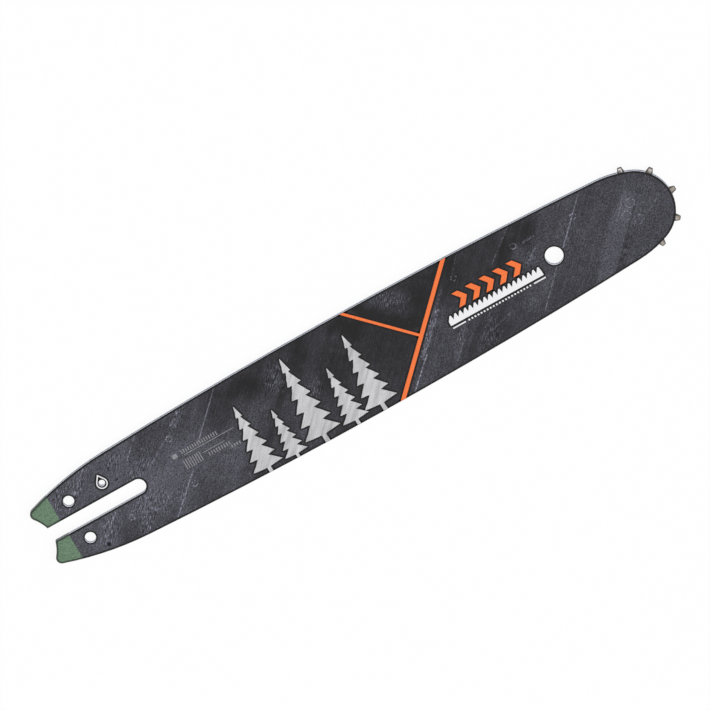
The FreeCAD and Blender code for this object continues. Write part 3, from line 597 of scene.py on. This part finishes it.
# Painted highlight: the raised ring round each weld is painted lighter, along with the paint rubbed thin on
# it.
for centre in seen_welds:
    placed = use_group(tree, rubbed_ring, {
        "Placed Tone": placed, "Rub": rub, "Centre": (*centre, 0),
        "Radius": weld_radius, "Width": weld_highlight_width, "Change": weld_highlight_and_rub,
    })
for centre in rivet_places:
    placed = use_group(tree, rubbed_ring, {
        "Placed Tone": placed, "Rub": rub, "Centre": (centre.x, centre.y, 0), "Radius": rivet_radius,
        "Width": rivet_rub_width, "Change": whole_rivet if centre.x > 1 else rubbed_rivet,
    })
tone = add_node(tree, "SeparateXYZ", {0: placed}, out="Z")
finish_paint(tree, shader, tone, place)
dress("side_plate_front", printed_paint)


# The spot welds. Current squeezed through the plates in two rows leaves a low ring round each weld, painted
# over with the face. Those that the print doesn't hide are here.
weld_ridge = 0.35
weld_rise = 0.05
weld_ruffle = 0.05
face_height = cad_high[2] / MM


def start_piece(name):
    """Names the primitive that was just added and opens it, selected all over."""
    piece = bpy.context.object
    piece.name = name
    bpy.ops.object.mode_set(mode="EDIT")
    bpy.ops.mesh.select_all(action="SELECT")
    return piece


def end_piece(piece, material):
    """Closes a piece, bakes its place into its mesh, gives it its finish and lets it ride on the bar."""
    bpy.ops.object.mode_set(mode="OBJECT")
    bpy.ops.object.select_all(action="DESELECT")
    piece.select_set(True)
    bpy.context.view_layer.objects.active = piece
    bpy.ops.object.transform_apply(location=True, rotation=True, scale=True)
    piece.data.materials.clear()
    piece.data.materials.append(material)
    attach(piece, "bar")


for n, (x, y) in enumerate(seen_welds):
    centre = (nose.x + x * MM, y * MM, face_height * MM)
    bpy.ops.object.select_all(action="DESELECT")
    bpy.ops.mesh.primitive_torus_add(
        major_radius=weld_radius * MM, minor_radius=weld_ridge / 2 * MM,
        major_segments=40, minor_segments=10, location=centre,
    )
    mark = start_piece("weld_mark_%d" % (n + 1))
    bpy.ops.transform.vertex_random(offset=weld_ruffle * MM, seed=n)
    bpy.ops.transform.resize(value=(1, 1, weld_rise / (weld_ridge / 2)), center_override=centre)
    bpy.ops.mesh.normals_make_consistent(inside=False)
    end_piece(mark, printed_paint)


# The four nose rivets. Their heads are swelled flush in the plates' countersinks, ground with the faces and
# painted over, so that only a broken ring of rubbed paint shows where each one is.
for node in nodes:
    if node.startswith("nose_rivet"):
        dress(node, printed_paint)


# The edge line, a painted shade of the dark broken edge: a thin black film laid on the paint all round the
# face and round its larger holes, but not round the rivets or the oil inlet.
edge_shade_width = 0.85
line_height = 0.03
sunk = 0.02
edge_shade_tone = 14.0
rivet_reach = 3.4
inlet_place = Vector((-330.4, -18.9))
inlet_reach = 2.4
merge_gap = 0.001
face_slack = 0.01
facing_up = 0.99


def select_faces(piece, chosen):
    """Selects those faces that the test chooses, in edit mode, and no others."""
    bpy.ops.mesh.select_mode(type="FACE")
    bpy.ops.object.mode_set(mode="OBJECT")
    for part in (*piece.data.vertices, *piece.data.edges):
        part.select = False
    for face in piece.data.polygons:
        face.select = chosen(face)
    bpy.ops.object.mode_set(mode="EDIT")


def copy_of(piece, name):
    """A copy with a mesh of its own, opened and selected all over."""
    bpy.ops.object.select_all(action="DESELECT")
    copy = bpy.data.objects.new(name, piece.data.copy())
    bpy.context.scene.collection.objects.link(copy)
    bpy.context.view_layer.objects.active = copy
    copy.select_set(True)
    return start_piece(name)


def painted_face(name):
    """A sheet in the form of the painted face, with its holes, just under the face."""
    face = copy_of(nodes["side_plate_front"], name)
    bpy.ops.mesh.customdata_custom_splitnormals_clear()
    bpy.ops.mesh.remove_doubles(threshold=merge_gap * MM)
    under = (face_height - face_slack) * MM
    select_faces(face, lambda part: part.normal.z < facing_up or part.center.z < under)
    bpy.ops.mesh.delete(type="FACE")
    bpy.ops.mesh.select_all(action="SELECT")
    bpy.ops.transform.translate(value=(0, 0, -sunk * MM))
    return face


def thicken(height):
    """Extrudes the sheet that is open and selected upwards into a closed slab."""
    bpy.ops.mesh.extrude_region_move(TRANSFORM_OT_translate={"value": (0, 0, height * MM)})
    bpy.ops.mesh.select_all(action="SELECT")
    bpy.ops.mesh.normals_make_consistent(inside=False)


def without_line(part):
    """Whether a face belongs to the line round a rivet's head or round the small oil inlet."""
    place = (part.center - nose) / MM
    if (place.xy - inlet_place).length < inlet_reach:
        return True
    return any((place - rivet).xy.length < rivet_reach for rivet in rivet_places)


# This black is the painted edge shade here, and the black outlines of the print further on.
edge_shade_and_outline_black, tree, shader, place = start_material("black edge line")
black_mottle = noise(tree, place, 0.9, 2.0)
tone = maths(tree, "MULTIPLY_ADD", black_mottle, 20.0, edge_shade_tone - 10.0)
finish_paint(tree, shader, tone, place)
painted_edge_shade = painted_face("painted_edge_shade")
bpy.ops.mesh.inset(thickness=edge_shade_width * MM, use_boundary=True, use_even_offset=True)
bpy.ops.mesh.delete(type="FACE")
select_faces(painted_edge_shade, without_line)
bpy.ops.mesh.delete(type="FACE")
bpy.ops.mesh.select_all(action="SELECT")
thicken(sunk + line_height)
end_piece(painted_edge_shade, edge_shade_and_outline_black)


# The orange stripes. They are screen-printed over the boards: a broad one at 45 degrees from edge to edge,
# and a narrower one that runs from the far edge down to it.
orange = (0.90, 0.185, 0.045, 1)
worn_orange = (0.5, 0.11, 0.04, 1)
worn_black = (0.06, 0.06, 0.065, 1)
long_stripe = ((-156.2, -28.3), (-99.6, 28.3))
short_stripe = ((-161.2, 28.3), (-131.2, -2.4))
long_stripe_width = 2.2
short_stripe_width = 1.5
stripe_line_width = 1.1
stripe_overrun = 4.0
ink_height = 0.05
sheet_depth = 2.0
outline_reach = 1.0
outline_turns = 8
outline_skew = 0.12

# Screen ink: its shade is uneven in fine specks and in streaks along the boards, and it is worn in spots.
screen_ink, given, result = start_group(
    "screen ink",
    {"Position": (0.0, 0.0, 0.0), "Specks": 0.3, "Streaks": 0.3, "Bands": 0.0, "Wear": 0.3},
    {"Shade": "Float", "Worn": "Float"},
)
tree = screen_ink
specks = noise(tree, given["Position"], 1 / grain_size, 1.0)
drawn = use_group(tree, streaks, {"Position": given["Position"], "Length": 9.0, "Width": 0.7})
shade = maths(tree, "MULTIPLY_ADD", maths(tree, "SUBTRACT", specks, 0.5), given["Specks"], 1.0)
shade = maths(tree, "MULTIPLY_ADD", drawn, given["Streaks"], shade)
boards = use_group(tree, streaks, {"Position": given["Position"], "Length": 30.0, "Width": 2.6})
tree.links.new(maths(tree, "MULTIPLY_ADD", boards, given["Bands"], shade), result["Shade"])
chips = use_group(tree, streaks, {"Position": given["Position"], "Length": 2.2, "Width": 0.5})
tree.links.new(maths(tree, "MULTIPLY", ramp(tree, chips, 0.16, 0.24), given["Wear"]), result["Worn"])


def ink(name, colour, specks=0.3, streak=0.3, bands=0.0, wear=0.3, worn_colour=worn_black):
    """Screen ink of one colour, uneven by those shares."""
    material, tree, shader, place = start_material(name)
    given = {"Position": place, "Specks": specks, "Streaks": streak, "Bands": bands, "Wear": wear}
    film = use_group(tree, screen_ink, given, out=None)
    shaded = add_node(tree, "HueSaturation", {"Value": film["Shade"], "Color": colour})
    tree.links.new(mix_colours(tree, film["Worn"], shaded, worn_colour), shader["Base Color"])
    tree.links.new(maths(tree, "MULTIPLY_ADD", film["Worn"], 0.2, 0.5), shader["Roughness"])
    shader["Specular IOR Level"].default_value = 0.25
    raise_bumps(tree, shader, film["Shade"], 0.01)
    return material


ink_layer = painted_face("ink_layer")
thicken(sunk + ink_height)
bpy.ops.object.mode_set(mode="OBJECT")
outline_layer = painted_face("outline_layer")
thicken(sunk + line_height)
bpy.ops.object.mode_set(mode="OBJECT")


def add_sheet(name, x, y, length, width, turn=0.0):
    """A flat sheet of that length and width about a point of the face, under it, opened and selected."""
    bpy.ops.object.select_all(action="DESELECT")
    place = (nose.x + x * MM, y * MM, (face_height - sheet_depth) * MM)
    bpy.ops.mesh.primitive_plane_add(size=1, location=place, rotation=(0, 0, turn))
    bpy.context.object.scale = (length * MM, width * MM, 1)
    bpy.ops.object.transform_apply(location=True, rotation=True, scale=True)
    return start_piece(name)


def select_points(piece, chosen):
    """Selects those points that the test chooses, in edit mode, and no others."""
    bpy.ops.mesh.select_mode(type="VERT")
    bpy.ops.object.mode_set(mode="OBJECT")
    for part in (*piece.data.edges, *piece.data.polygons):
        part.select = False
    for point in piece.data.vertices:
        point.select = chosen(point.co)
    bpy.ops.object.mode_set(mode="EDIT")


def use_modifier(piece, kind, **settings):
    """Adds a modifier to a closed piece and applies it."""
    bpy.ops.object.mode_set(mode="OBJECT")
    bpy.context.view_layer.objects.active = piece
    modifier = piece.modifiers.new(kind.lower(), kind)
    for name, value in settings.items():
        setattr(modifier, name, value)
    bpy.ops.object.modifier_apply(modifier=modifier.name)


def print_on_face(piece, layer, material):
    """Turns an open sheet into a thin film of ink, cut to the layer on the face."""
    bpy.ops.mesh.select_all(action="SELECT")
    thicken(2 * sheet_depth)
    use_modifier(piece, "BOOLEAN", operation="INTERSECT", solver="MANIFOLD", object=layer)
    end_piece(piece, material)


def print_with_outline(piece, material):
    """Prints a sheet over black films of the same form, moved all round it and joined into one."""
    bpy.ops.object.mode_set(mode="OBJECT")
    outline = copy_of(piece, piece.name + "_outline")
    thicken(2 * sheet_depth)
    bpy.ops.object.mode_set(mode="OBJECT")
    for n in range(outline_turns):
        moved = copy_of(piece, "moved")
        thicken(2 * sheet_depth)
        turn = 2 * math.pi * (n + outline_skew) / outline_turns
        reach = outline_reach * MM
        bpy.ops.transform.translate(value=(reach * math.cos(turn), reach * math.sin(turn), 0))
        use_modifier(outline, "BOOLEAN", operation="UNION", solver="MANIFOLD", object=moved)
        bpy.data.objects.remove(moved)
    use_modifier(outline, "BOOLEAN", operation="INTERSECT", solver="MANIFOLD", object=outline_layer)
    end_piece(outline, edge_shade_and_outline_black)
    bpy.ops.object.select_all(action="DESELECT")
    bpy.context.view_layer.objects.active = piece
    piece.select_set(True)
    bpy.ops.object.mode_set(mode="EDIT")
    print_on_face(piece, ink_layer, material)


def add_stripe(name, ends, width, before, after):
    """A sheet for a stripe that runs past its two ends by the lengths before and after."""
    (x0, y0), (x1, y1) = ends
    turn = math.atan2(y1 - y0, x1 - x0)
    stripe = add_sheet(name, (x0 + x1) / 2, (y0 + y1) / 2, math.hypot(x1 - x0, y1 - y0), width, turn)
    way = Vector((math.cos(turn), math.sin(turn), 0))
    middle = Vector((nose.x / MM + (x0 + x1) / 2, (y0 + y1) / 2, 0)) * MM
    for side, run in ((-1, before), (1, after)):
        select_points(stripe, lambda point: side * (point - middle).dot(way) > 0)
        bpy.ops.transform.translate(value=way * side * run * MM)
    return stripe


for name, ends, width, after in (
    ("long_stripe_line", long_stripe, long_stripe_width, stripe_overrun),
    ("short_stripe_line", short_stripe, short_stripe_width, 0.0),
):
    line = add_stripe(name, ends, width + 2 * stripe_line_width, stripe_overrun, after)
    print_on_face(line, outline_layer, edge_shade_and_outline_black)

orange_ink = ink("orange ink", orange, specks=0.5, streak=0.3, wear=0.35, worn_colour=worn_orange)
side_stripe = add_stripe("short_stripe", short_stripe, short_stripe_width, stripe_overrun, 0.0)
bpy.ops.mesh.select_all(action="SELECT")
thicken(2 * sheet_depth)
bpy.ops.object.mode_set(mode="OBJECT")
stripes = add_stripe("orange_stripes", long_stripe, long_stripe_width, stripe_overrun, stripe_overrun)
bpy.ops.mesh.select_all(action="SELECT")
thicken(2 * sheet_depth)
use_modifier(stripes, "BOOLEAN", operation="UNION", solver="MANIFOLD", object=side_stripe)
use_modifier(stripes, "BOOLEAN", operation="INTERSECT", solver="MANIFOLD", object=ink_layer)
bpy.data.objects.remove(side_stripe)
end_piece(stripes, orange_ink)


# The conifers. Pale grey outlines of trees stand in a row on the near edge, screen-printed as flat forms
# with a black line round them. One is drawn, and the others are copies of it at their own height.
pale_grey = (0.53, 0.53, 0.55, 1)
worn_grey = (0.22, 0.22, 0.24, 1)
tree_tiers = 6
tree_height = 52.0
trunk_width = 2.6
trunk_height = 5.0
tree_spread = 10.5
tier_droop = 0.9
neck_share = 0.42
least_neck = 0.15
twig_raggedness = 0.25
foot = -28.9
# Where each tree stands along the face, and its share of the full height.
trees = [(-236, 0.80), (-219.5, 0.58), (-202, 1.0), (-183, 0.68), (-167, 0.90)]

grey_ink = ink(
    "pale grey ink", pale_grey, specks=0.45, streak=0.5, bands=1.1, wear=0.6, worn_colour=worn_grey,
)
drawn_tree = add_sheet("drawn_tree", 0, foot + trunk_height / 2, trunk_width, trunk_height)
select_points(drawn_tree, lambda point: point.y > (foot + trunk_height / 2) * MM)
tier_height = (tree_height - trunk_height) / tree_tiers
trunk_line = (nose.x, 0, 0)
half_width = trunk_width / 2
for tier in range(tree_tiers):
    share = 1 - tier / tree_tiers
    droop = tier_droop * share
    tip = tree_spread * share ** 0.9
    neck = max(tree_spread * neck_share * (share - 1 / tree_tiers), least_neck)
    for width, rise in ((tip, droop), (neck, tier_height - droop)):
        bpy.ops.mesh.extrude_region_move(TRANSFORM_OT_translate={"value": (0, rise * MM, 0)})
        bpy.ops.transform.resize(value=(width / half_width, 1, 1), center_override=trunk_line)
        half_width = width
bpy.ops.mesh.select_all(action="SELECT")
bpy.ops.mesh.subdivide(number_cuts=3)
bpy.ops.transform.vertex_random(offset=twig_raggedness * MM, seed=7)
bpy.ops.transform.resize(value=(1, 1, 0), center_override=(0, 0, (face_height - sheet_depth) * MM))
bpy.ops.object.mode_set(mode="OBJECT")
for n, (x, size) in enumerate(trees):
    grown = copy_of(drawn_tree, "conifer_%d" % (n + 1))
    bpy.ops.transform.resize(value=(size ** 0.8, size, 1), center_override=(nose.x, foot * MM, 0))
    bpy.ops.transform.translate(value=(x * MM, 0, 0))
    print_with_outline(grown, grey_ink)
bpy.data.objects.remove(drawn_tree)


# The orange chevrons, the white saw band and the white ticks. A plain row of marks that points to the nose,
# screen-printed like the stripes.
chevron_count = 5
chevron_pitch = 8.2
chevron_low, chevron_high = 0.4, 9.0
chevron_width = 3.6
chevron_lean = 3.4
chevron_start = -104.0
band_start, band_end = -114.5, -58.5
band_low, band_high, saw_rise = -6.2, -3.7, 2.6
saw_teeth = 19
saw_lean, saw_tip = 0.8, 0.25
tick_low, tick_high = -8.3, -7.4
rule_low, rule_high = tick_low + 0.1, tick_high - 0.1
print_white = (0.86, 0.86, 0.88, 1)

white_ink = ink("white ink", print_white, specks=0.12, streak=0.1, wear=0.15)
row = (chevron_low + chevron_high) / 2
chevrons = add_sheet("orange_chevrons", chevron_start, row, chevron_width, chevron_high - chevron_low)
bpy.ops.mesh.subdivide(number_cuts=1)
select_points(chevrons, lambda point: abs(point.y - row * MM) < 0.1 * MM)
bpy.ops.transform.translate(value=(chevron_lean * MM, 0, 0))
use_modifier(
    chevrons, "ARRAY", count=chevron_count, use_relative_offset=False, use_constant_offset=True,
    constant_offset_displace=(chevron_pitch * MM, 0, 0),
)
bpy.ops.object.mode_set(mode="EDIT")
print_with_outline(chevrons, orange_ink)

saw_pitch = (band_end - band_start) / saw_teeth
band_middle = (band_low + band_high) / 2
saw_band = add_sheet(
    "white_saw_band", band_start + saw_pitch / 2, band_middle, saw_pitch, band_high - band_low
)
select_points(saw_band, lambda point: point.y > band_middle * MM)
saw_middle = (nose.x + (band_start + saw_pitch * saw_lean) * MM, band_high * MM, 0)
bpy.ops.mesh.extrude_region_move(TRANSFORM_OT_translate={"value": (0, saw_rise * MM, 0)})
bpy.ops.transform.resize(value=(saw_tip, 1, 1), center_override=saw_middle)
use_modifier(
    saw_band, "ARRAY", count=saw_teeth, use_relative_offset=False, use_constant_offset=True,
    constant_offset_displace=(saw_pitch * MM, 0, 0), use_merge_vertices=True, merge_threshold=0.01 * MM,
)
bpy.ops.object.mode_set(mode="EDIT")
print_with_outline(saw_band, white_ink)


def print_ticks(name, first, last, low, high, count, width, material, layer):
    """A row of equal upright ticks from the first to the last."""
    pitch = (last - first) / max(count - 1, 1)
    ticks = add_sheet(name, first, (low + high) / 2, width, high - low)
    bpy.ops.mesh.subdivide(number_cuts=1)
    use_modifier(
        ticks, "ARRAY", count=count, use_relative_offset=False, use_constant_offset=True,
        constant_offset_displace=(pitch * MM, 0, 0),
    )
    bpy.ops.object.mode_set(mode="EDIT")
    print_on_face(ticks, layer, material)


# Rows of white marks: name, first and last, low and high edge, count, width.
for marks in (
    ("white_rule_1", -110.4, -110.4, rule_low, rule_high, 1, 7.6),
    ("white_rule_2", -61.8, -61.8, rule_low, rule_high, 1, 7.0),
    ("white_ticks", -104.5, -67.5, tick_low, tick_high, 21, 0.9),
):
    print_ticks(*marks, white_ink, ink_layer)


# The oil mark. A white drop is screen-printed over a black one round the oil hole beside the slot, with its
# point away from the slot, to show where the oil goes in.
drop_centre = (-316.8, 11.2)
drop_radius = 3.05
drop_point = 2.3
drop_line = 0.62

bpy.ops.object.select_all(action="DESELECT")
bpy.ops.mesh.primitive_circle_add(
    vertices=40, radius=drop_radius * MM, fill_type="NGON",
    location=(nose.x + drop_centre[0] * MM, drop_centre[1] * MM, (face_height - sheet_depth) * MM),
)
bpy.ops.object.transform_apply(location=True, rotation=True, scale=True)
drop = start_piece("oil_drop")
drop_top = (drop_centre[1] + drop_radius) * MM
select_points(drop, lambda point: point.y > drop_top - 0.001 * MM)
bpy.ops.transform.translate(
    value=(0, drop_point * MM, 0), use_proportional_edit=True, proportional_edit_falloff="SHARP",
    proportional_size=drop_radius * MM,
)
bpy.ops.mesh.select_mode(type="FACE")
bpy.ops.mesh.select_all(action="SELECT")
bpy.ops.mesh.inset(thickness=drop_line * MM)
bpy.ops.mesh.delete(type="FACE")
print_with_outline(drop, white_ink)


# The etched scale. A laser has burnt a faint block of plain ticks and rules into the paint behind the slot,
# where it leaves a lighter grey with a rough edge.
burnt_grey = (0.26, 0.26, 0.28, 1)
etched_grey = ink("etched grey", burnt_grey, specks=1.2, streak=0.4, wear=0.6)
# Rows of the scale: name, first and last mark, low and high edge, count, width.
for marks in (
    ("etched_ticks_1", -272.0, -251.0, 4.0, 6.2, 16, 0.5),
    ("etched_ticks_2", -273.5, -264.0, -4.6, 0.8, 8, 0.45),
    ("etched_ticks_3", -259.5, -247.5, -4.2, -2.0, 9, 0.5),
    ("etched_ticks_4", -247.0, -242.5, -6.2, -4.6, 4, 0.6),
    ("etched_rule_1", -256.5, -256.5, 2.9, 3.25, 1, 30.0),
    ("etched_rule_2", -256.0, -256.0, -1.0, -0.7, 1, 14.0),
    ("etched_block", -276.2, -276.2, 3.6, 5.9, 1, 2.8),
):
    print_ticks(*marks, etched_grey, outline_layer)
bpy.data.objects.remove(ink_layer)
bpy.data.objects.remove(outline_layer)


# The floor and the backdrop: a plain pale table, and a white room all round it.
floor_white = (0.97, 0.97, 0.97, 1)
floor_reach = 30.0
floor_drop = 0.05
floor_glow = 0.9
room_light = 0.55

bpy.ops.object.select_all(action="DESELECT")
bpy.ops.mesh.primitive_plane_add(size=floor_reach, location=(0, 0, -floor_drop * MM))
floor = bpy.context.object
floor.name = "floor"
pale_floor = bpy.data.materials.new("pale floor")
pale_floor.use_nodes = True
tree = pale_floor.node_tree
tree.nodes.remove(tree.nodes["Principled BSDF"])
lit = add_node(tree, "BsdfDiffuse", {"Color": floor_white})
glow = add_node(tree, "Emission", {"Color": (1, 1, 1, 1), "Strength": 1.0})
rays = add_node(tree, "LightPath").node.outputs
seen = maths(tree, "MAXIMUM", rays["Is Camera Ray"], rays["Is Glossy Ray"])
seen = maths(tree, "MAXIMUM", seen, rays["Is Transmission Ray"])
both = add_node(tree, "MixShader", {0: maths(tree, "MULTIPLY", seen, floor_glow), 1: lit, 2: glow})
tree.links.new(both, tree.nodes["Material Output"].inputs["Surface"])
floor.data.materials.append(pale_floor)

room = bpy.data.worlds.new("white room")
bpy.context.scene.world = room
room.use_nodes = True
tree = room.node_tree
rays = add_node(tree, "LightPath").node.outputs
seen = maths(tree, "MAXIMUM", rays["Is Camera Ray"], rays["Is Glossy Ray"])
seen = maths(tree, "MAXIMUM", seen, rays["Is Transmission Ray"])
tree.links.new(ramp(tree, seen, 0.0, 1.0, room_light, 1.0), tree.nodes["Background"].inputs["Strength"])
tree.nodes["Background"].inputs["Color"].default_value = (1, 1, 1, 1)


# The studio lights: two broad soft lamps high over the object, the stronger one to the right in the camera's
# view and the weaker one to its lower left.
for name, strength, spread, lean, turn in (
    ("key_light", 1.3, 50, 38, 60),
    ("fill_light", 0.5, 70, 45, -70),
):
    bpy.ops.object.light_add(type="SUN", rotation=(math.radians(lean), 0, math.radians(turn)))
    lamp = bpy.context.object
    lamp.name = name
    lamp.data.energy = strength
    lamp.data.angle = math.radians(spread)


# The camera. It looks down on the bar from its far side, 15 degrees off straight down, from so far away that
# the bar hardly tapers, and is turned so that the bar rises to the right by nearly 30 degrees.
view_turn = math.radians(29.92)
view_tilt = math.radians(15.1)
view_centre = Vector((0.92, 5.39, 4.1)) * MM
view_distance = 8.0
seen_width = 373.5 * MM
image_right = Vector((math.cos(view_turn), -math.sin(view_turn), 0))
image_up = Vector((math.sin(view_turn), math.cos(view_turn), 0))
backward = image_up * math.sin(view_tilt) + Vector((0, 0, math.cos(view_tilt)))
bpy.ops.object.camera_add(location=view_centre + backward * view_distance)
camera = bpy.context.object
camera.name = "camera"
camera.rotation_mode = "QUATERNION"
upward = backward.cross(image_right)
turn = (image_right, upward, backward)
camera.rotation_quaternion = Matrix(turn).transposed().to_quaternion()
camera.data.sensor_width = 36.0
camera.data.lens = camera.data.sensor_width * view_distance / seen_width
camera.data.clip_start = 0.1
camera.data.clip_end = 100.0
bpy.context.scene.camera = camera

bpy.context.scene.view_settings.view_transform = "Standard"
